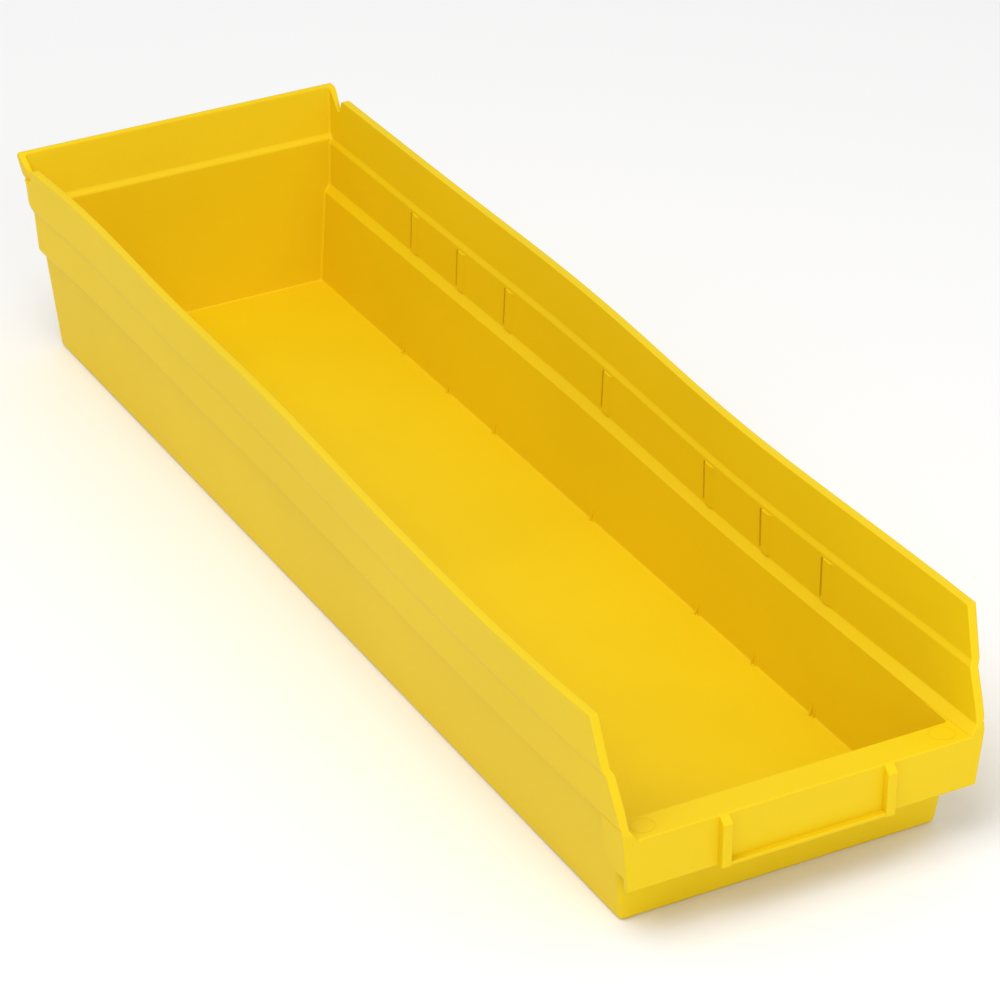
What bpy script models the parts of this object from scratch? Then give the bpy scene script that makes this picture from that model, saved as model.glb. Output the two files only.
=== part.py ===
"""Open-fronted nesting shelf bin, modelled as the panels of its single moulding.

Frame: metres, +Z up, base resting on Z = 0, length along Y with the open front towards -Y.
"""
import math

import bmesh
import bpy
from mathutils import Vector

MM = 0.001
CLEAR = 0.3 * MM        # modelling gap between neighbouring panels
OVERRUN = 20 * MM       # how far a trimming shape runs past what it trims
ARC_STEPS = 4           # segments in each rounded corner

# Shell: drafted walls that step outwards twice
FLOOR_THICKNESS = 2.5 * MM
RIM_HEIGHT = 98.5 * MM
BOTTOM_EDGE_RADIUS = 2.0 * MM
STEP_RADIUS = 0.8 * MM
RIM_RADIUS = 1.4 * MM

# Side walls from the base up, as (half width, height) on the inside and on the outside
SIDE_INSIDE = ((68.4 * MM, 0.0), (73.6 * MM, 50.2 * MM), (76.6 * MM, 54.4 * MM),
               (77.8 * MM, 74.4 * MM), (79.2 * MM, 76.8 * MM), (80.2 * MM, RIM_HEIGHT))
SIDE_OUTSIDE = ((71.7 * MM, 0.0), (77.2 * MM, 50.2 * MM), (80.4 * MM, 54.4 * MM),
                (81.7 * MM, 74.4 * MM), (82.9 * MM, 76.8 * MM), (84.2 * MM, RIM_HEIGHT))

# Rear wall from the base up, inside face, as (distance back, height)
REAR_WALL_TOP = 91.5 * MM
REAR_INSIDE = ((288.4 * MM, 0.0), (290.8 * MM, 76.8 * MM), (293.0 * MM, 78.4 * MM),
               (295.2 * MM, REAR_WALL_TOP))
REAR_THICKNESS = 2.8 * MM

# Hanging lip, flaring back from the top of the rear wall
LIP_TOP = 102.0 * MM
LIP_REAR_Y = 300.0 * MM
LIP_HALF = 83.6 * MM
LIP_THICKNESS = 2.4 * MM
LIP_RADIUS = 0.8 * MM

# Front: drafted lower wall, ledge, hanging apron
FRONT_FLOOR_Y = -274.2 * MM
FRONT_THICKNESS = 3.4 * MM
LEDGE_INNER_Y = -281.6 * MM
LEDGE_TOP = 48.6 * MM
LEDGE_THICKNESS = 2.6 * MM
APRON_TOP_Y = -296.4 * MM
APRON_BOTTOM_Y = -294.8 * MM
APRON_BOTTOM = 25.0 * MM
APRON_THICKNESS = 2.1 * MM
APRON_TOP_HALF = 79.8 * MM
APRON_BOTTOM_HALF = 77.8 * MM
APRON_CORNER_RADIUS = 2.0 * MM
CHEEK_BOTTOM = 31.0 * MM
CHEEK_THICKNESS = 2.2 * MM

# Front edge of each side wall, rising and leaning back from the ledge
NOSE_FOOT = (-296.2 * MM, 49.2 * MM)
NOSE_LOWER = (-293.0 * MM, 61.5 * MM)
NOSE_UPPER = (-286.8 * MM, 77.0 * MM)
NOSE_TOP = (-281.0 * MM, RIM_HEIGHT)

# Rear end of each side wall, notched below the hanging lip
RIM_REAR = (282.3 * MM, RIM_HEIGHT)
NOTCH_FRONT = (284.4 * MM, 92.6 * MM)
NOTCH_REAR = (286.6 * MM, 91.4 * MM)
EAR_TOP = (293.0 * MM, 96.0 * MM)

# Stiffening ribs on the inside of the side walls, with a nib at the floor below each
RIB_ORIGIN_Y = 246.0 * MM
RIB_PITCH = 47.8 * MM
RIB_SLOTS = (1, 2, 3, 5, 7, 8, 9)
RIB_WIDTH = 4.5 * MM
RIB_PROUD = 0.6 * MM
RIB_SUNK = 1.5 * MM
NIB_WIDTH = 2.0 * MM
NIB_HEIGHT = 4.0 * MM
NIB_PROUD = 1.6 * MM

# Label holder on the apron: three plain rails
LABEL_HALF_INNER = 34.3 * MM
LABEL_RAIL_WIDTH = 4.2 * MM
LABEL_RAIL_PROUD = 3.4 * MM
LABEL_RAIL_CHAMFER = 3.2 * MM
LABEL_BOTTOM_HEIGHT = 1.8 * MM

YELLOW = (0.87, 0.53, 0.012, 1.0)
ROUGHNESS = 0.42


def along(start, end, height):
    """First coordinate of the line from start to end (pairs of place, height) at a height."""
    share = (height - start[1]) / (end[1] - start[1])
    return start[0] + share * (end[0] - start[0])


def rounded(corners):
    """Closed outline from (u, v, radius) corners, with an arc at every corner that has a radius."""
    outline = []
    count = len(corners)
    for index, (u, v, radius) in enumerate(corners):
        corner = Vector((u, v))
        if radius == 0:
            outline.append(corner)
            continue
        before = (Vector(corners[index - 1][:2]) - corner).normalized()
        after = (Vector(corners[(index + 1) % count][:2]) - corner).normalized()
        half_angle = before.angle(after) / 2
        centre = corner + (before + after).normalized() * (radius / math.sin(half_angle))
        first = corner + before * (radius / math.tan(half_angle)) - centre
        last = corner + after * (radius / math.tan(half_angle)) - centre
        turn = first.angle_signed(last)
        for step in range(ARC_STEPS + 1):
            angle = -turn * step / ARC_STEPS
            swing = Vector((first.x * math.cos(angle) - first.y * math.sin(angle),
                            first.x * math.sin(angle) + first.y * math.cos(angle)))
            outline.append(centre + swing)
    return outline


def new_collection(name):
    collection = bpy.data.collections.new(name)
    bpy.context.scene.collection.children.link(collection)
    return collection


def plastic(name):
    """The moulding's own yellow plastic."""
    material = bpy.data.materials.new(name + "_plastic")
    material.use_nodes = True
    shader = material.node_tree.nodes["Principled BSDF"]
    shader.inputs["Base Color"].default_value = YELLOW
    shader.inputs["Roughness"].default_value = ROUGHNESS
    shader.inputs["Metallic"].default_value = 0.0
    material.diffuse_color = YELLOW
    return material


def extruded(name, collection, corners, start, end, rotation):
    """Solid of a flat outline extruded from start to end along the axis the rotation gives it."""
    curve = bpy.data.curves.new(name + "_outline", 'CURVE')
    curve.dimensions = '2D'
    curve.fill_mode = 'BOTH'
    curve.extrude = (end - start) / 2
    points = rounded(corners)
    spline = curve.splines.new('POLY')
    spline.points.add(len(points) - 1)
    for knot, point in zip(spline.points, points):
        knot.co = (point.x, point.y, 0.0, 1.0)
    spline.use_cyclic_u = True
    guide = bpy.data.objects.new(name + "_outline", curve)
    bpy.context.scene.collection.objects.link(guide)
    mesh = bpy.data.meshes.new_from_object(guide.evaluated_get(bpy.context.evaluated_depsgraph_get()))
    bpy.data.objects.remove(guide)
    welded = bmesh.new()
    welded.from_mesh(mesh)
    bmesh.ops.remove_doubles(welded, verts=welded.verts, dist=0.01 * MM)
    bmesh.ops.recalc_face_normals(welded, faces=welded.faces)
    welded.to_mesh(mesh)
    welded.free()
    solid = bpy.data.objects.new(name, mesh)
    solid.rotation_euler = rotation
    collection.objects.link(solid)
    return solid


def along_length(name, collection, corners, start, end):
    """Outline of (x, height) corners, extruded along Y."""
    solid = extruded(name, collection, corners, start, end, (math.radians(90), 0, 0))
    solid.location.y = (start + end) / 2
    return solid


def across_width(name, collection, corners, start, end):
    """Outline of (y, height) corners, extruded along X."""
    solid = extruded(name, collection, corners, start, end, (math.radians(90), 0, math.radians(90)))
    solid.location.x = (start + end) / 2
    return solid


def as_cutter(cutter):
    cutter.hide_render = True
    cutter.display_type = 'WIRE'
    return cutter


def boolean(part, operation, other):
    modifier = part.modifiers.new(other.name, 'BOOLEAN')
    modifier.operation = operation
    modifier.object = other


def moved(face, offset):
    """A face's corners, each moved outwards by offset."""
    return [(place + offset, height) for place, height in face]


def inner_half(height):
    """Inside half width at a height below the lower step."""
    return along(SIDE_INSIDE[0], SIDE_INSIDE[1], height)


def front_face(height, offset):
    """Distance along Y of the lower front wall's inside face at a height, moved forward by offset."""
    return along((FRONT_FLOOR_Y, 0.0), (LEDGE_INNER_Y, LEDGE_TOP), height) - offset


def apron_face(height, offset):
    """Distance along Y of the apron's front face at a height, moved forward by offset."""
    return along((APRON_TOP_Y, LEDGE_TOP), (APRON_BOTTOM_Y, APRON_BOTTOM), height) - offset


def apron_half(height):
    """Half width of the apron at a height."""
    return along((APRON_TOP_HALF, LEDGE_TOP), (APRON_BOTTOM_HALF, APRON_BOTTOM), height)


def space_between(name, cutters, face, base_radius):
    """Solid as wide as one face of the side walls, running past both ends of the bin."""
    right = [(half, height, 0.0) for half, height in face[1:]]
    left = [(-half, height, 0.0) for half, height, _ in reversed(right)]
    foot = face[0][0]
    corners = [(-foot, 0.0, base_radius), (foot, 0.0, base_radius)] + right + left
    return as_cutter(along_length(name, cutters, corners, -LIP_REAR_Y - OVERRUN, LIP_REAR_Y + OVERRUN))


def side_outline():
    """A side wall seen from the side: nose at the front, rim, notch and rear end."""
    shelf = LEDGE_TOP + 2 * CLEAR
    rim_over = (RIM_REAR[0], RIM_HEIGHT + OVERRUN)
    nose_over = (along(NOSE_UPPER, NOSE_TOP, RIM_HEIGHT + OVERRUN), RIM_HEIGHT + OVERRUN)
    rear = moved(REAR_INSIDE, REAR_THICKNESS)[::-1]
    corners = [(front_face(-OVERRUN, -CLEAR), -OVERRUN), (front_face(shelf, -CLEAR), shelf),
               (NOSE_FOOT[0], shelf), NOSE_LOWER, NOSE_UPPER, nose_over, rim_over,
               NOTCH_FRONT, NOTCH_REAR, EAR_TOP, (EAR_TOP[0], REAR_WALL_TOP)]
    corners += rear + [(rear[-1][0], -OVERRUN)]
    return [(back, height, 0.0) for back, height in corners]


def rib_bank(name, cutters, side):
    """Ribs on the middle band and nibs at the floor, sunk into one side wall's inside face."""
    bank = bmesh.new()
    rib_face, rib_bottom = SIDE_INSIDE[2]
    rib_top = SIDE_INSIDE[3][1]
    nib_bottom = FLOOR_THICKNESS + CLEAR
    features = (
        (rib_face, rib_bottom, rib_top, RIB_WIDTH, RIB_PROUD),
        (inner_half(nib_bottom), nib_bottom, nib_bottom + NIB_HEIGHT, NIB_WIDTH, NIB_PROUD),
    )
    for slot in RIB_SLOTS:
        for face, bottom, top, width, proud in features:
            inner = face - proud
            outer = face + RIB_SUNK
            cube = bmesh.ops.create_cube(bank, size=1.0)["verts"]
            bmesh.ops.scale(bank, verts=cube, vec=(outer - inner, width, top - bottom))
            place = (side * (inner + outer) / 2, RIB_ORIGIN_Y - slot * RIB_PITCH, (bottom + top) / 2)
            bmesh.ops.translate(bank, verts=cube, vec=place)
    mesh = bpy.data.meshes.new(name)
    bank.to_mesh(mesh)
    bank.free()
    ribs = bpy.data.objects.new(name, mesh)
    cutters.objects.link(ribs)
    return as_cutter(ribs)


def side_wall(name, parts, cutters, side):
    """Stepped side wall with its rim, ribs and nibs; side is 1 on the right and -1 on the left."""
    radii = (BOTTOM_EDGE_RADIUS, STEP_RADIUS, STEP_RADIUS, STEP_RADIUS, STEP_RADIUS, RIM_RADIUS)
    up = [(side * half, height, radius) for (half, height), radius in zip(SIDE_OUTSIDE, radii)]
    inner_radii = (0.0,) + radii[1:]
    down = [(side * half, height, radius) for (half, height), radius in zip(SIDE_INSIDE, inner_radii)]
    wall = along_length(name, parts, up + down[::-1], -LIP_REAR_Y, LIP_REAR_Y)
    trim = across_width(name + "_trim", cutters, side_outline(), -LIP_REAR_Y, LIP_REAR_Y)
    boolean(wall, 'INTERSECT', as_cutter(trim))
    boolean(wall, 'UNION', rib_bank(name + "_ribs", cutters, side))
    return wall


def floor_panel(parts, between):
    """Flat floor between the four walls."""
    rear = REAR_INSIDE[0][0] - CLEAR
    corners = [(front_face(0.0, -CLEAR), 0.0, 0.0), (rear, 0.0, 0.0),
               (rear, FLOOR_THICKNESS, 0.0), (front_face(FLOOR_THICKNESS, -CLEAR), FLOOR_THICKNESS, 0.0)]
    floor = across_width("floor_panel", parts, corners, -LIP_HALF, LIP_HALF)
    boolean(floor, 'INTERSECT', between)
    return floor


def rear_wall(parts, between):
    """Stepped rear wall up to the hanging lip."""
    outer = moved(REAR_INSIDE, REAR_THICKNESS)
    radii = (BOTTOM_EDGE_RADIUS, STEP_RADIUS, STEP_RADIUS, 0.0)
    up = [(back, height, radius) for (back, height), radius in zip(outer, radii)]
    down = [(back, height, radius) for (back, height), radius in zip(REAR_INSIDE, (0.0,) + radii[1:])]
    wall = across_width("rear_wall", parts, up + down[::-1], -LIP_HALF, LIP_HALF)
    boolean(wall, 'INTERSECT', between)
    return wall


def hanging_lip(parts):
    """Lip along the top of the rear wall that hooks over a rail."""
    bottom = REAR_WALL_TOP + CLEAR
    foot = REAR_INSIDE[-1][0]
    corners = [(foot, bottom, 0.0), (foot + REAR_THICKNESS, bottom, 0.0),
               (LIP_REAR_Y, LIP_TOP - LIP_THICKNESS, LIP_RADIUS), (LIP_REAR_Y, LIP_TOP, LIP_RADIUS),
               (LIP_REAR_Y - LIP_THICKNESS, LIP_TOP, LIP_RADIUS)]
    return across_width("rear_hanging_lip", parts, corners, -LIP_HALF, LIP_HALF)


def front_wall(parts, around):
    """Lower front wall, leaning forward under the ledge."""
    top = LEDGE_TOP - LEDGE_THICKNESS - CLEAR
    corners = [(front_face(0.0, FRONT_THICKNESS), 0.0, BOTTOM_EDGE_RADIUS),
               (front_face(0.0, 0.0), 0.0, 0.0),
               (front_face(top, 0.0), top, 0.0), (front_face(top, FRONT_THICKNESS), top, 0.0)]
    wall = across_width("front_wall", parts, corners, -LIP_HALF, LIP_HALF)
    boolean(wall, 'INTERSECT', around)
    return wall


def front_ledge(parts):
    """Level ledge that the side walls' noses stand on."""
    bottom = LEDGE_TOP - LEDGE_THICKNESS
    back = apron_face(LEDGE_TOP, -APRON_THICKNESS - CLEAR)
    corners = [(-apron_half(bottom), bottom, 0.0), (apron_half(bottom), bottom, 0.0),
               (APRON_TOP_HALF, LEDGE_TOP, 0.0), (-APRON_TOP_HALF, LEDGE_TOP, 0.0)]
    return along_length("front_ledge", parts, corners, back, LEDGE_INNER_Y)


def ledge_cheek(name, parts, side):
    """Short end plate under the ledge, closing it between the apron and the lower front wall."""
    top = LEDGE_TOP - LEDGE_THICKNESS - CLEAR
    corners = [(side * (apron_half(CHEEK_BOTTOM) - CHEEK_THICKNESS), CHEEK_BOTTOM, 0.0),
               (side * apron_half(CHEEK_BOTTOM), CHEEK_BOTTOM, 0.0),
               (side * apron_half(top), top, 0.0),
               (side * (apron_half(top) - CHEEK_THICKNESS), top, 0.0)]
    back = apron_face(CHEEK_BOTTOM, -APRON_THICKNESS - CLEAR)
    return along_length(name, parts, corners, back, front_face(top, FRONT_THICKNESS + CLEAR))


def front_apron(parts, cutters):
    """Plate hanging from the ledge's front edge."""
    corners = [(apron_face(APRON_BOTTOM, 0.0), APRON_BOTTOM, 0.0),
               (apron_face(APRON_BOTTOM, -APRON_THICKNESS), APRON_BOTTOM, 0.0),
               (apron_face(LEDGE_TOP, -APRON_THICKNESS), LEDGE_TOP, 0.0),
               (apron_face(LEDGE_TOP, 0.0), LEDGE_TOP, RIM_RADIUS / 2)]
    apron = across_width("front_apron", parts, corners, -LIP_HALF, LIP_HALF)
    outline = [(-apron_half(APRON_BOTTOM), APRON_BOTTOM, APRON_CORNER_RADIUS),
               (apron_half(APRON_BOTTOM), APRON_BOTTOM, APRON_CORNER_RADIUS),
               (apron_half(LEDGE_TOP), LEDGE_TOP, RIM_RADIUS),
               (-apron_half(LEDGE_TOP), LEDGE_TOP, RIM_RADIUS)]
    trim = along_length("front_apron_trim", cutters, outline, -LIP_REAR_Y - OVERRUN, FRONT_FLOOR_Y)
    boolean(apron, 'INTERSECT', as_cutter(trim))
    return apron


def label_side_rail(name, parts, side):
    """Upright rail of the label holder, chamfered at the top."""
    bottom = APRON_BOTTOM
    top = LEDGE_TOP - CLEAR
    corners = [(apron_face(bottom, CLEAR), bottom, 0.0), (apron_face(top, CLEAR), top, 0.0),
               (apron_face(top - LABEL_RAIL_CHAMFER, LABEL_RAIL_PROUD), top - LABEL_RAIL_CHAMFER, 0.0),
               (apron_face(bottom, LABEL_RAIL_PROUD), bottom, 0.0)]
    edges = sorted((side * LABEL_HALF_INNER, side * (LABEL_HALF_INNER + LABEL_RAIL_WIDTH)))
    return across_width(name, parts, corners, edges[0], edges[1])


def label_bottom_rail(parts):
    """Shelf of the label holder that the card stands on."""
    bottom = APRON_BOTTOM
    top = APRON_BOTTOM + LABEL_BOTTOM_HEIGHT
    corners = [(apron_face(bottom, CLEAR), bottom, 0.0), (apron_face(top, CLEAR), top, 0.0),
               (apron_face(top, LABEL_RAIL_PROUD), top, 0.0),
               (apron_face(bottom, LABEL_RAIL_PROUD), bottom, 0.0)]
    half = LABEL_HALF_INNER - CLEAR
    return across_width("label_bottom_rail", parts, corners, -half, half)


def build():
    for leftover in list(bpy.data.objects):
        bpy.data.objects.remove(leftover)
    parts = new_collection("shelf_bin")
    cutters = new_collection("cutters")
    between = space_between("between_side_walls", cutters, moved(SIDE_INSIDE, -CLEAR), 0.0)
    around = space_between("around_side_walls", cutters, SIDE_OUTSIDE, BOTTOM_EDGE_RADIUS)
    panels = [
        floor_panel(parts, between),
        side_wall("left_side_wall", parts, cutters, -1),
        side_wall("right_side_wall", parts, cutters, 1),
        rear_wall(parts, between),
        hanging_lip(parts),
        front_wall(parts, around),
        front_ledge(parts),
        ledge_cheek("left_ledge_cheek", parts, -1),
        ledge_cheek("right_ledge_cheek", parts, 1),
        front_apron(parts, cutters),
        label_side_rail("label_left_rail", parts, -1),
        label_side_rail("label_right_rail", parts, 1),
        label_bottom_rail(parts),
    ]
    for panel in panels:
        panel.data.materials.append(plastic(panel.name))


build()
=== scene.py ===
"""Looks of the open-fronted nesting shelf bin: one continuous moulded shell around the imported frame."""
import math

import bmesh
import bpy
from mathutils import Matrix, Vector


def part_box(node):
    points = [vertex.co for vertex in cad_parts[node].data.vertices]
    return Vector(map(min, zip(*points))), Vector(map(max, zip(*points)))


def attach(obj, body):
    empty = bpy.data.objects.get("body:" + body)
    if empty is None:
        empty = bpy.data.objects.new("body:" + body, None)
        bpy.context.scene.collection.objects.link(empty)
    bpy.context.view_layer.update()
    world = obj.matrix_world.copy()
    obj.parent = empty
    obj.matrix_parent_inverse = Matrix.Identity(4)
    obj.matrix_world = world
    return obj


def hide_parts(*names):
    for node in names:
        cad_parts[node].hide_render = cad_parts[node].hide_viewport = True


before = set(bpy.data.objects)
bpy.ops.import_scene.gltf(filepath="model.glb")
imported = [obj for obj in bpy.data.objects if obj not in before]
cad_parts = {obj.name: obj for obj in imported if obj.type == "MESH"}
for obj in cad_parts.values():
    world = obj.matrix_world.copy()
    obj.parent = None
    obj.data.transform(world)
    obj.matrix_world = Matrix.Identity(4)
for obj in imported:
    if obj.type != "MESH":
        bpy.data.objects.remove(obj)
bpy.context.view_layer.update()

MM = 0.001
LOW, HIGH = 0, 1
X, Y, Z = 0, 1, 2

# ---------------------------------------------------------------- sizes read from the frame
FLOOR_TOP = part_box("floor_panel")[HIGH][Z]
RIM_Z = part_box("right_side_wall")[HIGH][Z]
OUTER_RIM_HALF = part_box("right_side_wall")[HIGH][X]
LIP_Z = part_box("rear_hanging_lip")[HIGH][Z]
LIP_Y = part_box("rear_hanging_lip")[HIGH][Y]
FRONT_FOOT_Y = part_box("front_wall")[HIGH][Y]
LEDGE_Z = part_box("front_ledge")[HIGH][Z]
LEDGE_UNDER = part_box("front_ledge")[LOW][Z]
LEDGE_BACK_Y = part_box("front_ledge")[HIGH][Y]
APRON_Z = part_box("front_apron")[LOW][Z]
APRON_FRONT_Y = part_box("front_apron")[LOW][Y]
APRON_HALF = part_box("front_apron")[HIGH][X]
CHEEK_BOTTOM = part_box("right_ledge_cheek")[LOW][Z]
RAIL_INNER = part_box("label_right_rail")[LOW][X]
RAIL_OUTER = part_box("label_right_rail")[HIGH][X]


def millimetres(*pairs):
    """Pairs given in millimetres, in metres."""
    return [(place * MM, height * MM) for place, height in pairs]


# ---------------------------------------------------------------- walls
# Faces of the walls from the base up, as (distance from the middle, height)
SIDE_INSIDE = millimetres((68.4, 0.0), (73.6, 49.0), (74.0, 49.5), (76.2, 52.7), (76.6, 53.4),
                          (77.7, 73.8), (78.0, 74.6), (78.9, 76.2), (79.2, 77.0), (80.3, 100.4))
SIDE_OUTSIDE = millimetres((71.7, 0.0), (77.0, 49.6), (77.4, 50.4), (80.0, 53.9), (80.4, 54.8),
                           (81.6, 73.8), (81.9, 74.6), (82.7, 76.2), (82.9, 77.0), (84.3, 100.4))
REAR_INSIDE = millimetres((288.4, 0.0), (290.7, 76.0), (291.0, 76.8), (292.7, 78.3), (293.0, 79.1),
                          (297.0, 101.0), (297.4, 101.6), (298.0, 102.0))
REAR_OUTSIDE = millimetres((292.0, 0.0), (293.6, 75.8), (294.0, 76.6), (295.8, 78.1), (296.2, 79.0),
                           (297.2, 89.6), (298.6, 90.8), (299.8, 99.4), (300.0, 100.4), (300.0, 101.2),
                           (299.8, 101.7), (299.2, 102.0))
# Vertical corners of the outside, as (radius, height)
OUTER_CORNERS = millimetres((1.8, 0.0), (4.6, 50.0), (6.5, 76.0), (8.0, 89.6), (1.2, 90.8), (1.2, 102.0))
INNER_CORNER = 1.2 * MM
FRONT_CORNER = 2.0 * MM
FLOOR_RADIUS = 0.8 * MM
BASE_RADIUS = 2.0 * MM
EDGE_ROUND = 0.6 * MM                         # on the rims, the noses and the apron's edges
FRONT_THICKNESS = 3.4 * MM

# Rings: a long side has a station every STATION_STEP, so that it can bow
ARC_STEPS = 5                                 # straight steps in a quarter turn
STATION_STEP = 12 * MM
STATION_ENDS = (-262 * MM, 278 * MM)
ACROSS = (0.6, 0.2, -0.2, -0.6)               # stations of a short side, as shares of the half width
HAIR = 0.02 * MM                              # rise between two rings that make a level face
BEYOND = 40 * MM                              # how far a cutting shape runs past the shell
FACE_SLACK = 0.2 * MM                         # how close to a front face counts as on it
RIM_SLACK = 0.05 * MM                         # the same for the rim

# ---------------------------------------------------------------- front
LEDGE_JOIN = 0.6 * MM                         # the outside runs forward from this far into the ledge
LEDGE_FLARE = 0.7 * MM                        # within this rise
BLOCK_OVERLAP = 1.5 * MM
BLOCK_SHOULDER = millimetres((79.9, 53.0), (78.4, 56.0))
APRON_THICKNESS = 2.1 * MM
APRON_TAPER = 2.0 * MM                        # apron's side edges come in by this at the bottom
APRON_LEAN = 1.6 * MM                         # apron's face goes back by this at the bottom
CHEEK_THICKNESS = 3.8 * MM
CHEEK_INSET = 1.2 * MM
BELOW_LEDGE = 5 * MM                          # the two cuts behind the apron end at different depths,
BELOW_CHEEKS = 6 * MM                         # so that no two of their faces coincide
# Front edge of a side wall above the ledge, as (y, z)
NOSE = millimetres((-296.5, 50.2), (-293.0, 61.5), (-286.8, 77.0), (-281.0, 98.5))
NOSE_CUT_Y = -277.0 * MM
TRIM_LOW = 10 * MM
TRIM_RISE = 15 * MM

# ---------------------------------------------------------------- rim, notch and hanging lip
RIM_END_Y = 282.3 * MM
# Bottom of the notch, seen from the side, as (y, z)
NOTCH = millimetres((283.4, 97.4), (284.4, 92.6), (286.6, 91.6), (290.2, 94.6), (293.6, 98.0))
LIP_SLOPE_Y = 298.2 * MM
LIP_OVERCUT = 0.3 * MM
RIM_TRIM_HALF = 77.0 * MM
# End edge of the hanging lip, seen from behind, as (x, z)
LIP_END = millimetres((81.6, 89.8), (83.3, 99.8), (83.1, 101.0))
LIP_END_TOP_HALF = 82.0 * MM
LIP_END_OVERCUT = 0.2 * MM
LIP_END_FAR = 95 * MM
LIP_ROOT_Y = 286.8 * MM

# ---------------------------------------------------------------- ribs, slots and nibs of the side walls
RIB_ORIGIN_Y = 243.0 * MM
RIB_PITCH = 47.8 * MM
RIB_SLOTS = (1, 2, 3, 5, 7, 8, 9)             # pitch positions that have a rib
BAND_LOW, BAND_HIGH = 53.8 * MM, 72.6 * MM
BAND_OVERLAP = 0.4 * MM                       # ribs run past their slots by this at both ends
# Plans as (sideways from the wall's face, along the wall), in millimetres
RIB_PLAN = ((0.4, 3.4), (-0.7, 3.2), (-0.9, -1.8), (0.4, -4.6))
SLOT_PLAN = ((-1.2, 3.2), (2.2, 3.4), (2.2, 5.4), (-1.2, 5.8))
# Pair of nibs at each rib, as (along the wall, proud, tall) in millimetres
NIBS = ((-0.6, 1.6, 6.5), (-2.7, 1.0, 5.5))
NIB_ROOT, NIB_ROOT_HALF, NIB_EDGE_HALF = 1.0, 0.55, 0.25
NIB_SUNK = 0.6

# ---------------------------------------------------------------- ejector marks and label holder
MARK_X, MARK_Y = 67 * MM, -288.2 * MM
MARK_RADII = (4.75 * MM, 5.15 * MM)
MARK_DEPTH = 0.14 * MM
MARK_CUT_RISE = 1.0 * MM
MARK_SIDES = 40
RAIL_PROUD = 3.4 * MM
RAIL_SUNK = 0.8 * MM
RAIL_TOP_DROP = 0.5 * MM
RAIL_CHAMFER = 3.0 * MM
RAIL_BOTTOM_RISE = 0.3 * MM
RAIL_ROUND = 0.35 * MM
RAIL_ROUND_FROM = 1 * MM                      # only edges this far off the apron are rounded
SHELF_HEIGHT = 1.8 * MM
SHELF_SHY_BACK = 0.2 * MM
SHELF_SHY_FRONT = 0.5 * MM
SHELF_OVERLAP = 1 * MM

# ---------------------------------------------------------------- bowing of the long walls
# Sideways sway of each wall's rim, in millimetres, as sine harmonics from the front to the rear
SWAY_END_Y = 296.1 * MM
SWAY_RIGHT = (0.0, -2.1, -0.6, 0.85, 0.5)
SWAY_LEFT = (-0.45, -2.95, -0.55, -0.95, 0.45, -0.4)
# The right wall stands inwards of its place, less at the rim and near the nose
RIGHT_PINCH = 1.8 * MM
RIM_RELIEF = 0.7                              # share of it that is gone at the rim
RELIEF_START_Z = 77 * MM
PINCH_START_Y = -297.5 * MM
PINCH_LOW_Y = -288 * MM
PINCH_HIGH_Y = -200 * MM
PINCH_HIGH_Z = 54 * MM
PINCH_FULL_X = 62 * MM

# ---------------------------------------------------------------- looks, lights and camera
ROUNDED_ABOVE = math.radians(40)              # outward edges sharper than this can be rounded
SHARP_ABOVE = math.radians(32)                # edges sharper than this are shaded as edges
YELLOW_DEEP = (0.77, 0.54, 0.002, 1.0)
YELLOW_LIGHT = (0.81, 0.568, 0.003, 1.0)
GROUND_GREY = (0.9, 0.9, 0.9, 1.0)
SURROUND_WHITE = (1.0, 1.0, 1.0, 1.0)
# Round area lamps aimed at the bin, as (name, place, diameter, watts)
LAMPS = (("key", (-0.9, -0.5, 2.3), 2.0, 34.0),
         ("front", (-0.1, -2.8, 1.2), 1.6, 20.0))
CAMERA_AZIMUTH = math.radians(-26.32)
CAMERA_ELEVATION = math.radians(28.71)
CAMERA_ROLL = math.radians(-1.728)
CAMERA_DISTANCE = 1.87847
CAMERA_AIM = (0.02183, 0.00426, 0.02465)


def along(start, end, height):
    """Place at a height on the line through two (place, height) points."""
    share = (height - start[1]) / (end[1] - start[1])
    return start[0] + share * (end[0] - start[0])


def at(face, height):
    """Place of a face, given as (place, height) points, at a height; its ends run on past the points."""
    for start, end in zip(face, face[1:]):
        if height <= end[1]:
            break
    return along(start, end, height)


def heights(low, high, *faces):
    """Every height between low and high at which one of the faces bends."""
    bends = {round(height, 7) for face in faces for _, height in face}
    return sorted(height for height in bends if low < height < high)


def inner_front(height):
    """Place of the front wall's inner face, which leans forward up to the ledge."""
    return along((FRONT_FOOT_Y, 0.0), (LEDGE_BACK_Y, LEDGE_Z), height)


def apron_face(height):
    """Place of the apron's front face."""
    return along((APRON_FRONT_Y, LEDGE_Z), (APRON_FRONT_Y + APRON_LEAN, APRON_Z), height)


def stations():
    """Places along a long side at which a ring has a point."""
    count = round((STATION_ENDS[1] - STATION_ENDS[0]) / STATION_STEP)
    return [STATION_ENDS[0] + index * STATION_STEP for index in range(count + 1)]


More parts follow.
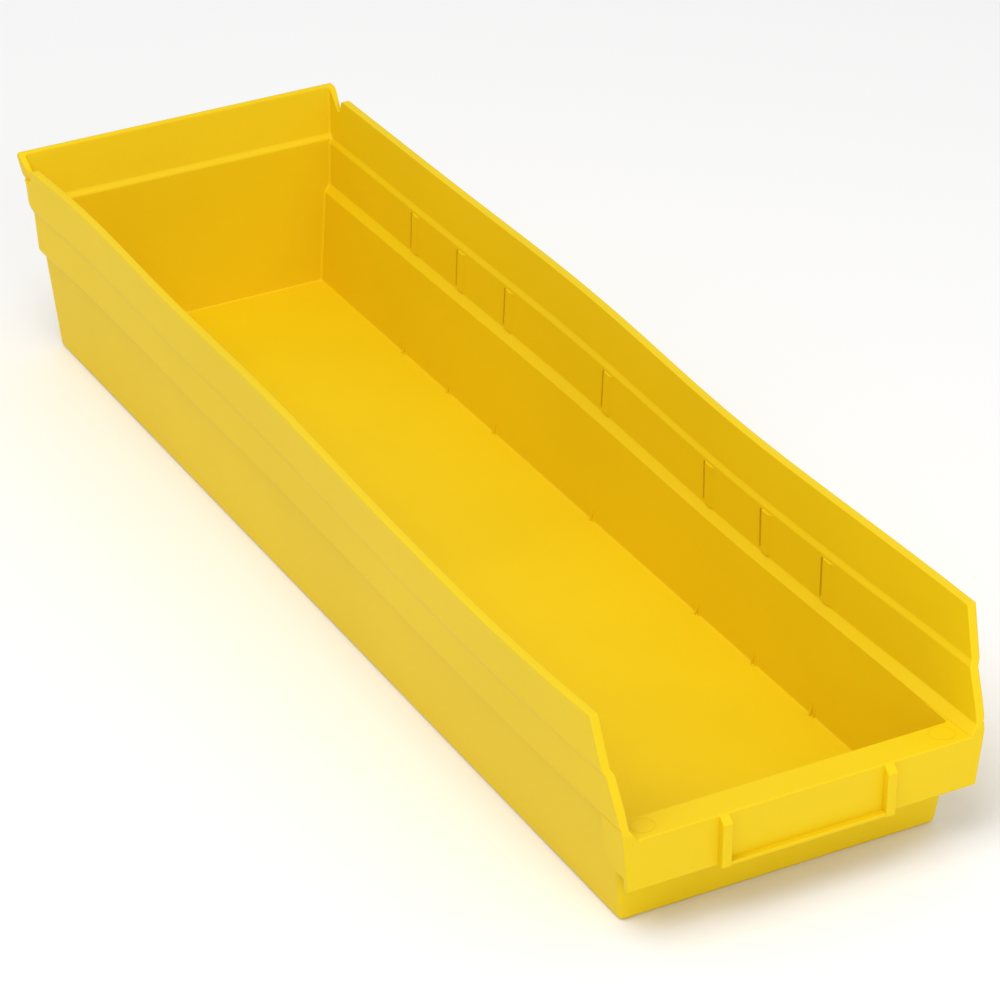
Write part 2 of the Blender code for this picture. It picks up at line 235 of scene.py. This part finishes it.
def ring(half, front, rear, front_radius, rear_radius, height):
    """One level loop of the bin, counter-clockwise from the right front corner."""
    points = []

    def corner(x, y, radius, start):
        for step in range(ARC_STEPS + 1):
            angle = start + math.radians(90) * step / ARC_STEPS
            points.append((x + radius * math.cos(angle), y + radius * math.sin(angle), height))

    across = [half * share for share in ACROSS]
    corner(half - front_radius, front + front_radius, front_radius, math.radians(-90))
    points.extend((half, y, height) for y in stations())
    corner(half - rear_radius, rear - rear_radius, rear_radius, 0.0)
    points.extend((x, rear, height) for x in across)
    corner(rear_radius - half, rear - rear_radius, rear_radius, math.radians(90))
    points.extend((-half, y, height) for y in reversed(stations()))
    corner(front_radius - half, front + front_radius, front_radius, math.radians(180))
    points.extend((x, front, height) for x in reversed(across))
    return points


def lofted(name, rings):
    """Closed solid through level rings, from the bottom up."""
    mesh = bmesh.new()
    rows = [[mesh.verts.new(point) for point in loop] for loop in rings]
    for below, above in zip(rows, rows[1:]):
        for index in range(len(below)):
            after = (index + 1) % len(below)
            mesh.faces.new((below[index], below[after], above[after], above[index]))
    mesh.faces.new(list(reversed(rows[0])))
    mesh.faces.new(rows[-1])
    return solid(name, mesh)


def solid(name, mesh):
    """Object in the scene made from a finished bmesh."""
    bmesh.ops.recalc_face_normals(mesh, faces=mesh.faces)
    data = bpy.data.meshes.new(name)
    mesh.to_mesh(data)
    mesh.free()
    piece = bpy.data.objects.new(name, data)
    bpy.context.scene.collection.objects.link(piece)
    return piece


def prism(name, outline, start, end, axis):
    """Closed solid of an outline: (y, z) corners swept along X, or (x, z) ones along Y."""
    mesh = bmesh.new()
    place = (lambda u, v, w: (w, u, v)) if axis == "X" else (lambda u, v, w: (u, w, v))
    first = [mesh.verts.new(place(u, v, start)) for u, v in outline]
    last = [mesh.verts.new(place(u, v, end)) for u, v in outline]
    for index in range(len(outline)):
        after = (index + 1) % len(outline)
        mesh.faces.new((first[index], first[after], last[after], last[index]))
    mesh.faces.new(first)
    mesh.faces.new(list(reversed(last)))
    return solid(name, mesh)


def combine(piece, operation, *others):
    """Joins the others to the piece or takes them from it, and removes them."""
    for other in others:
        modifier = piece.modifiers.new(other.name, 'BOOLEAN')
        modifier.operation = operation
        modifier.object = other
        modifier.solver = 'EXACT'
    apply_modifiers(piece)
    for other in others:
        bpy.data.objects.remove(other)


def apply_modifiers(piece):
    """Makes the result of the piece's modifiers its mesh."""
    depsgraph = bpy.context.evaluated_depsgraph_get()
    result = bpy.data.meshes.new_from_object(piece.evaluated_get(depsgraph), depsgraph=depsgraph,
                                             preserve_all_data_layers=True)
    piece.modifiers.clear()
    piece.data = result


def quarter(radius):
    """Rounding between a level face and an upright one, as (pull inwards, height) steps."""
    for step in range(ARC_STEPS + 1):
        angle = math.radians(90) * step / ARC_STEPS
        yield radius * (1 - math.sin(angle)), radius * (1 - math.cos(angle))


def outside():
    """The bin's outside as a solid block, from the rounded base up to the lip."""
    def level(front, height, pull=0.0):
        return ring(at(SIDE_OUTSIDE, height) - pull, front + pull, at(REAR_OUTSIDE, height) - pull,
                    FRONT_CORNER, at(OUTER_CORNERS, height), height)

    rings = [level(inner_front(height) - FRONT_THICKNESS, height, pull)
             for pull, height in quarter(BASE_RADIUS)]
    under = LEDGE_UNDER + LEDGE_JOIN
    rings.append(level(inner_front(under) - FRONT_THICKNESS, under))
    ahead = APRON_FRONT_Y - BEYOND
    rings.append(level(ahead, under + LEDGE_FLARE))
    for height in heights(under + LEDGE_FLARE, LIP_Z, SIDE_OUTSIDE, REAR_OUTSIDE, OUTER_CORNERS):
        rings.append(level(ahead, height))
    rings.append(level(ahead, LIP_Z))
    return lofted("bin_shell", rings)


def hollow():
    """The space inside the bin, opening forward over the ledge."""
    def level(front, height, pull=0.0):
        return ring(at(SIDE_INSIDE, height) - pull, front + pull, at(REAR_INSIDE, height) - pull,
                    INNER_CORNER, INNER_CORNER, height)

    rings = [level(inner_front(FLOOR_TOP + rise), FLOOR_TOP + rise, pull)
             for pull, rise in quarter(FLOOR_RADIUS)]
    for pull, rise in quarter(EDGE_ROUND):
        height = LEDGE_Z - pull
        rings.append(level(inner_front(height) - rise, height))
    ahead = APRON_FRONT_Y - 2 * BEYOND
    for height in [LEDGE_Z + HAIR] + heights(LEDGE_Z, LIP_Z, SIDE_INSIDE, REAR_INSIDE):
        rings.append(level(ahead, height))
    rings.append(level(ahead, LIP_Z + BEYOND / 4))
    return lofted("hollow", rings)


def space_behind_apron(name, low, high, half):
    """Prism from the apron's rear face back past the ledge, between two heights."""
    far = LEDGE_BACK_Y + BLOCK_OVERLAP + BEYOND
    outline = [(apron_face(low) + APRON_THICKNESS, low), (far, low), (far, high),
               (apron_face(high) + APRON_THICKNESS, high)]
    return prism(name, outline, -half, half, "X")


def front_block():
    """Ledge, apron and cheeks: a block with the space behind the apron taken out."""
    right = [(APRON_HALF - APRON_TAPER, APRON_Z), (APRON_HALF, LEDGE_Z)] + BLOCK_SHOULDER
    left = [(-x, z) for x, z in reversed(right)]
    block = prism("front_block", left[-1:] + right + left[:-1], APRON_FRONT_Y - BEYOND / 2,
                  LEDGE_BACK_Y + BLOCK_OVERLAP, "Y")
    between_cheeks = space_behind_apron("between_cheeks", APRON_Z - BELOW_LEDGE, LEDGE_UNDER,
                                        APRON_HALF - CHEEK_THICKNESS - CHEEK_INSET)
    below_cheeks = space_behind_apron("below_cheeks", APRON_Z - BELOW_CHEEKS, CHEEK_BOTTOM,
                                      APRON_HALF + BEYOND)
    combine(block, 'DIFFERENCE', between_cheeks, below_cheeks)
    return block


def front_trim():
    """Everything ahead of the apron's face and the side walls' sloping noses."""
    ahead = APRON_FRONT_Y - 3 * BEYOND
    outline = [(ahead, TRIM_LOW), (apron_face(TRIM_LOW), TRIM_LOW)] + NOSE
    outline += [(NOSE_CUT_Y, RIM_Z + TRIM_RISE), (ahead, RIM_Z + TRIM_RISE)]
    return prism("front_trim", outline, -APRON_HALF - BEYOND, APRON_HALF + BEYOND, "X")


def rim_trim(side):
    """Above one side wall's rim, down into the notch, and up the end of the hanging lip."""
    ahead = APRON_FRONT_Y - 4 * BEYOND
    outline = [(ahead, RIM_Z), (RIM_END_Y, RIM_Z)] + NOTCH
    outline += [(LIP_SLOPE_Y, LIP_Z + LIP_OVERCUT), (LIP_SLOPE_Y, LIP_Z + BEYOND)]
    outline += [(ahead, LIP_Z + BEYOND)]
    edges = sorted((side * RIM_TRIM_HALF, side * (OUTER_RIM_HALF + BEYOND)))
    return prism("rim_trim_" + ("right" if side > 0 else "left"), outline, edges[0], edges[1], "X")


def lip_end(side):
    """Beyond the sloping end of the hanging lip."""
    top = LIP_Z + LIP_END_OVERCUT
    right = LIP_END + [(LIP_END_TOP_HALF, top), (LIP_END_FAR, top), (LIP_END_FAR, LIP_END[0][1])]
    outline = [(side * x, z) for x, z in right]
    name = "lip_end_" + ("right" if side > 0 else "left")
    return prism(name, outline, LIP_ROOT_Y, LIP_Y + BEYOND, "Y")


def wall_details():
    """Divider ribs on the middle band, each behind a narrow slot, and paired nibs at the floor."""
    face = at(SIDE_INSIDE, BAND_LOW)
    lean = at(SIDE_INSIDE, BAND_HIGH) - face
    foot = at(SIDE_INSIDE, FLOOR_TOP)
    ribs, slots = bmesh.new(), bmesh.new()
    for side in (-1, 1):
        for slot in RIB_SLOTS:
            y = RIB_ORIGIN_Y - slot * RIB_PITCH
            # the rib has a square rear edge and a long slope at its front edge
            outline = [(side * (face + u * MM), y + v * MM) for u, v in RIB_PLAN]
            sweep(ribs, outline, BAND_LOW, BAND_HIGH + BAND_OVERLAP, side * lean)
            outline = [(side * (face + u * MM), y + v * MM) for u, v in SLOT_PLAN]
            sweep(slots, outline, BAND_LOW + BAND_OVERLAP, BAND_HIGH, side * lean)
            for v, proud, tall in NIBS:
                plan = ((NIB_ROOT, NIB_ROOT_HALF), (-proud, NIB_EDGE_HALF),
                        (-proud, -NIB_EDGE_HALF), (NIB_ROOT, -NIB_ROOT_HALF))
                outline = [(side * (foot + u * MM), y + (v + w) * MM) for u, w in plan]
                sweep(ribs, outline, FLOOR_TOP - NIB_SUNK * MM, FLOOR_TOP + tall * MM,
                      side * (proud + NIB_SUNK) * MM)
    return solid("ribs", ribs), solid("slots", slots)


def sweep(mesh, outline, low, high, lean):
    """Adds an upright prism of an (x, y) outline whose top is shifted sideways by lean."""
    bottom = [mesh.verts.new((x, y, low)) for x, y in outline]
    top = [mesh.verts.new((x + lean, y, high)) for x, y in outline]
    for index in range(len(outline)):
        after = (index + 1) % len(outline)
        mesh.faces.new((bottom[index], bottom[after], top[after], top[index]))
    mesh.faces.new(list(reversed(bottom)))
    mesh.faces.new(top)


def ejector_marks():
    """Two shallow circular marks pressed into the ledge near its ends."""
    mesh = bmesh.new()
    inner, outer = MARK_RADII
    low, high = LEDGE_Z - MARK_DEPTH, LEDGE_Z + MARK_CUT_RISE
    turn = [math.radians(360) * step / MARK_SIDES for step in range(MARK_SIDES)]
    for side in (-1, 1):
        loops = []
        for radius, height in ((inner, low), (inner, high), (outer, high), (outer, low)):
            points = [(side * MARK_X + radius * math.cos(angle), MARK_Y + radius * math.sin(angle), height)
                      for angle in turn]
            loops.append([mesh.verts.new(point) for point in points])
        for one, other in zip(loops, loops[1:] + loops[:1]):
            for index in range(MARK_SIDES):
                after = (index + 1) % MARK_SIDES
                mesh.faces.new((one[index], one[after], other[after], other[index]))
    return solid("ejector_marks", mesh)


def label_rails():
    """U-shaped label holder standing off the apron."""
    low = APRON_Z + RAIL_BOTTOM_RISE
    top = LEDGE_Z - RAIL_TOP_DROP
    shoulder = top - RAIL_CHAMFER
    upright = [(apron_face(low) + RAIL_SUNK, low), (apron_face(top) + RAIL_SUNK, top),
               (apron_face(top), top), (apron_face(shoulder) - RAIL_PROUD, shoulder),
               (apron_face(low) - RAIL_PROUD, low)]
    rails = prism("label_holder", upright, RAIL_INNER, RAIL_OUTER, "X")
    left = prism("label_left", upright, -RAIL_OUTER, -RAIL_INNER, "X")
    high = low + SHELF_HEIGHT
    back = RAIL_SUNK - SHELF_SHY_BACK
    edge = RAIL_PROUD - SHELF_SHY_FRONT
    shelf = [(apron_face(low) + back, low), (apron_face(high) + back, high),
             (apron_face(high) - edge, high), (apron_face(low) - edge, low)]
    bottom = prism("label_shelf", shelf, -RAIL_INNER - SHELF_OVERLAP, RAIL_INNER + SHELF_OVERLAP, "X")
    combine(rails, 'UNION', left, bottom)
    soften(rails, RAIL_ROUND, lambda point: point.y < apron_face(point.z) - RAIL_ROUND_FROM)
    return rails


def sway(harmonics, y):
    """Sideways sway of a rim at a place along the bin."""
    share = (y - APRON_FRONT_Y) / (SWAY_END_Y - APRON_FRONT_Y)
    share = min(max(share, 0.0), 1.0)
    waves = [size * math.sin((order + 1) * math.pi * share) for order, size in enumerate(harmonics)]
    return MM * sum(waves)


def smooth(value, start, end):
    """Eased step from 0 at start to 1 at end."""
    share = min(max((value - start) / (end - start), 0.0), 1.0)
    return share * share * (3 - 2 * share)


def pinch(x, y, z):
    """How far a point moves inwards with the right wall: nothing at the apron or on the left."""
    depth = RIGHT_PINCH * (1 - RIM_RELIEF * smooth(z, RELIEF_START_Z, RIM_Z))
    low = smooth(y, PINCH_START_Y, PINCH_LOW_Y)
    high = smooth(y, PINCH_START_Y, PINCH_HIGH_Y)
    share = low + (high - low) * smooth(z, LEDGE_Z, PINCH_HIGH_Z)
    return depth * share * smooth(x, 0.0, PINCH_FULL_X)


def warp(piece):
    """Leans the walls sideways as the moulding's long sides do, more the higher they stand."""
    for vertex in piece.data.vertices:
        x, y, z = vertex.co
        across = min(max((x / OUTER_RIM_HALF + 1) / 2, 0.0), 1.0)
        rim_shift = (1 - across) * sway(SWAY_LEFT, y) + across * sway(SWAY_RIGHT, y)
        vertex.co.x += rim_shift * max(z - FLOOR_TOP, 0.0) / (RIM_Z - FLOOR_TOP) - pinch(x, y, z)


def on_front(point):
    """Whether a point lies on the apron's front face or on the face of a nose."""
    if point.z <= NOSE[0][1]:
        place = apron_face(point.z)
    else:
        place = at(NOSE, point.z)
    return abs(point.y - place) < FACE_SLACK


def on_rim(point):
    """Whether a point lies on a side wall's rim, ahead of its notch."""
    return abs(point.z - RIM_Z) < RIM_SLACK and point.y < RIM_END_Y + RIM_SLACK


def soften(piece, width, *places):
    """Rounds the sharp edges that have both ends in one of the places."""
    mesh = bmesh.new()
    mesh.from_mesh(piece.data)
    weight = mesh.edges.layers.float.new("bevel_weight_edge")
    for edge in mesh.edges:
        sharp = len(edge.link_faces) == 2 and edge.calc_face_angle_signed() > ROUNDED_ABOVE
        if sharp and any(all(place(vertex.co) for vertex in edge.verts) for place in places):
            edge[weight] = 1.0
    mesh.to_mesh(piece.data)
    mesh.free()
    rounding = piece.modifiers.new("rounding", 'BEVEL')
    rounding.width = width
    rounding.segments = 3
    rounding.limit_method = 'WEIGHT'
    rounding.use_clamp_overlap = False
    apply_modifiers(piece)


def shell():
    """The whole moulding: outside with the front block, hollowed, trimmed, detailed and bowed."""
    piece = outside()
    combine(piece, 'UNION', front_block())
    combine(piece, 'DIFFERENCE', hollow(), front_trim(), rim_trim(1), rim_trim(-1),
            lip_end(1), lip_end(-1))
    soften(piece, EDGE_ROUND, on_front, on_rim)
    ribs, slots = wall_details()
    combine(piece, 'UNION', ribs)
    combine(piece, 'DIFFERENCE', slots, ejector_marks())
    combine(piece, 'UNION', label_rails())
    warp(piece)
    piece.data.shade_smooth()
    piece.data.set_sharp_from_angle(angle=SHARP_ABOVE)
    even = piece.modifiers.new("even_shading", 'WEIGHTED_NORMAL')
    even.keep_sharp = True
    apply_modifiers(piece)
    return piece


def node(tree, kind, **inputs):
    """Adds a node and sets inputs by name, with underscores for spaces."""
    made = tree.nodes.new(kind)
    for name, value in inputs.items():
        made.inputs[name.replace("_", " ")].default_value = value
    return made


def moulded_plastic():
    """Satin yellow polypropylene: faint cloudy colour, fine spark texture and slight gloss changes."""
    material = bpy.data.materials.new("yellow_moulding")
    material.use_nodes = True
    tree = material.node_tree
    shader = tree.nodes["Principled BSDF"]
    shader.inputs["IOR"].default_value = 1.49
    shader.inputs["Specular IOR Level"].default_value = 0.22
    place = tree.nodes.new("ShaderNodeTexCoord")
    cloud = node(tree, "ShaderNodeTexNoise", Scale=9.0, Detail=3.0)
    grain = node(tree, "ShaderNodeTexNoise", Scale=900.0, Detail=2.0)
    tone = tree.nodes.new("ShaderNodeValToRGB")
    tone.color_ramp.elements[0].position = 0.35
    tone.color_ramp.elements[0].color = YELLOW_DEEP
    tone.color_ramp.elements[1].position = 0.68
    tone.color_ramp.elements[1].color = YELLOW_LIGHT
    gloss = node(tree, "ShaderNodeMapRange", To_Min=0.5, To_Max=0.6)
    bump = node(tree, "ShaderNodeBump", Strength=0.12, Distance=0.0002)
    link = tree.links.new
    link(place.outputs["Object"], cloud.inputs["Vector"])
    link(place.outputs["Object"], grain.inputs["Vector"])
    link(cloud.outputs["Fac"], tone.inputs["Fac"])
    link(tone.outputs["Color"], shader.inputs["Base Color"])
    link(grain.outputs["Fac"], gloss.inputs["Value"])
    link(gloss.outputs["Result"], shader.inputs["Roughness"])
    link(grain.outputs["Fac"], bump.inputs["Height"])
    link(bump.outputs["Normal"], shader.inputs["Normal"])
    return material


def studio():
    """Pale floor, a pale surround and soft round lamps."""
    bpy.ops.mesh.primitive_plane_add(size=12.0, location=(0, 0, 0))
    ground = bpy.context.object
    ground.name = "studio_floor"
    paint = bpy.data.materials.new("pale_floor")
    paint.use_nodes = True
    finish = paint.node_tree.nodes["Principled BSDF"]
    finish.inputs["Base Color"].default_value = GROUND_GREY
    finish.inputs["Roughness"].default_value = 0.8
    ground.data.materials.append(paint)

    world = bpy.data.worlds.new("surround")
    world.use_nodes = True
    sky = world.node_tree.nodes["Background"]
    sky.inputs["Color"].default_value = SURROUND_WHITE
    sky.inputs["Strength"].default_value = 0.66
    bpy.context.scene.world = world

    for name, spot, size, power in LAMPS:
        lamp = bpy.data.lights.new(name, 'AREA')
        lamp.shape = 'DISK'
        lamp.size = size
        lamp.energy = power
        holder = bpy.data.objects.new(name, lamp)
        holder.location = spot
        holder.rotation_euler = (-Vector(spot)).to_track_quat('-Z', 'Y').to_euler()
        bpy.context.scene.collection.objects.link(holder)
    bpy.context.scene.view_settings.view_transform = 'Standard'


def camera():
    """Camera at the viewing angle of a three-quarter product view from the left front."""
    back = Vector((math.sin(CAMERA_AZIMUTH) * math.cos(CAMERA_ELEVATION),
                   -math.cos(CAMERA_AZIMUTH) * math.cos(CAMERA_ELEVATION), math.sin(CAMERA_ELEVATION)))
    level = Vector((math.cos(CAMERA_AZIMUTH), math.sin(CAMERA_AZIMUTH), 0.0))
    upright = back.cross(level)
    right = math.cos(CAMERA_ROLL) * level + math.sin(CAMERA_ROLL) * upright
    up = math.cos(CAMERA_ROLL) * upright - math.sin(CAMERA_ROLL) * level
    lens = bpy.data.cameras.new("camera")
    lens.lens = 153.5
    lens.sensor_width = 36.0
    lens.clip_end = 30.0
    eye = bpy.data.objects.new("camera", lens)
    turn = Matrix((right, up, back)).transposed().to_4x4()
    eye.matrix_world = Matrix.Translation(Vector(CAMERA_AIM) + back * CAMERA_DISTANCE) @ turn
    bpy.context.scene.collection.objects.link(eye)
    bpy.context.scene.camera = eye


camera()
studio()
bin_shell = shell()
bin_shell.data.materials.clear()
bin_shell.data.materials.append(moulded_plastic())
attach(bin_shell, "root")
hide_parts("floor_panel", "left_side_wall", "right_side_wall", "rear_wall",
            "rear_hanging_lip", "front_wall", "front_ledge", "left_ledge_cheek", "right_ledge_cheek",
            "front_apron", "label_left_rail", "label_right_rail", "label_bottom_rail")
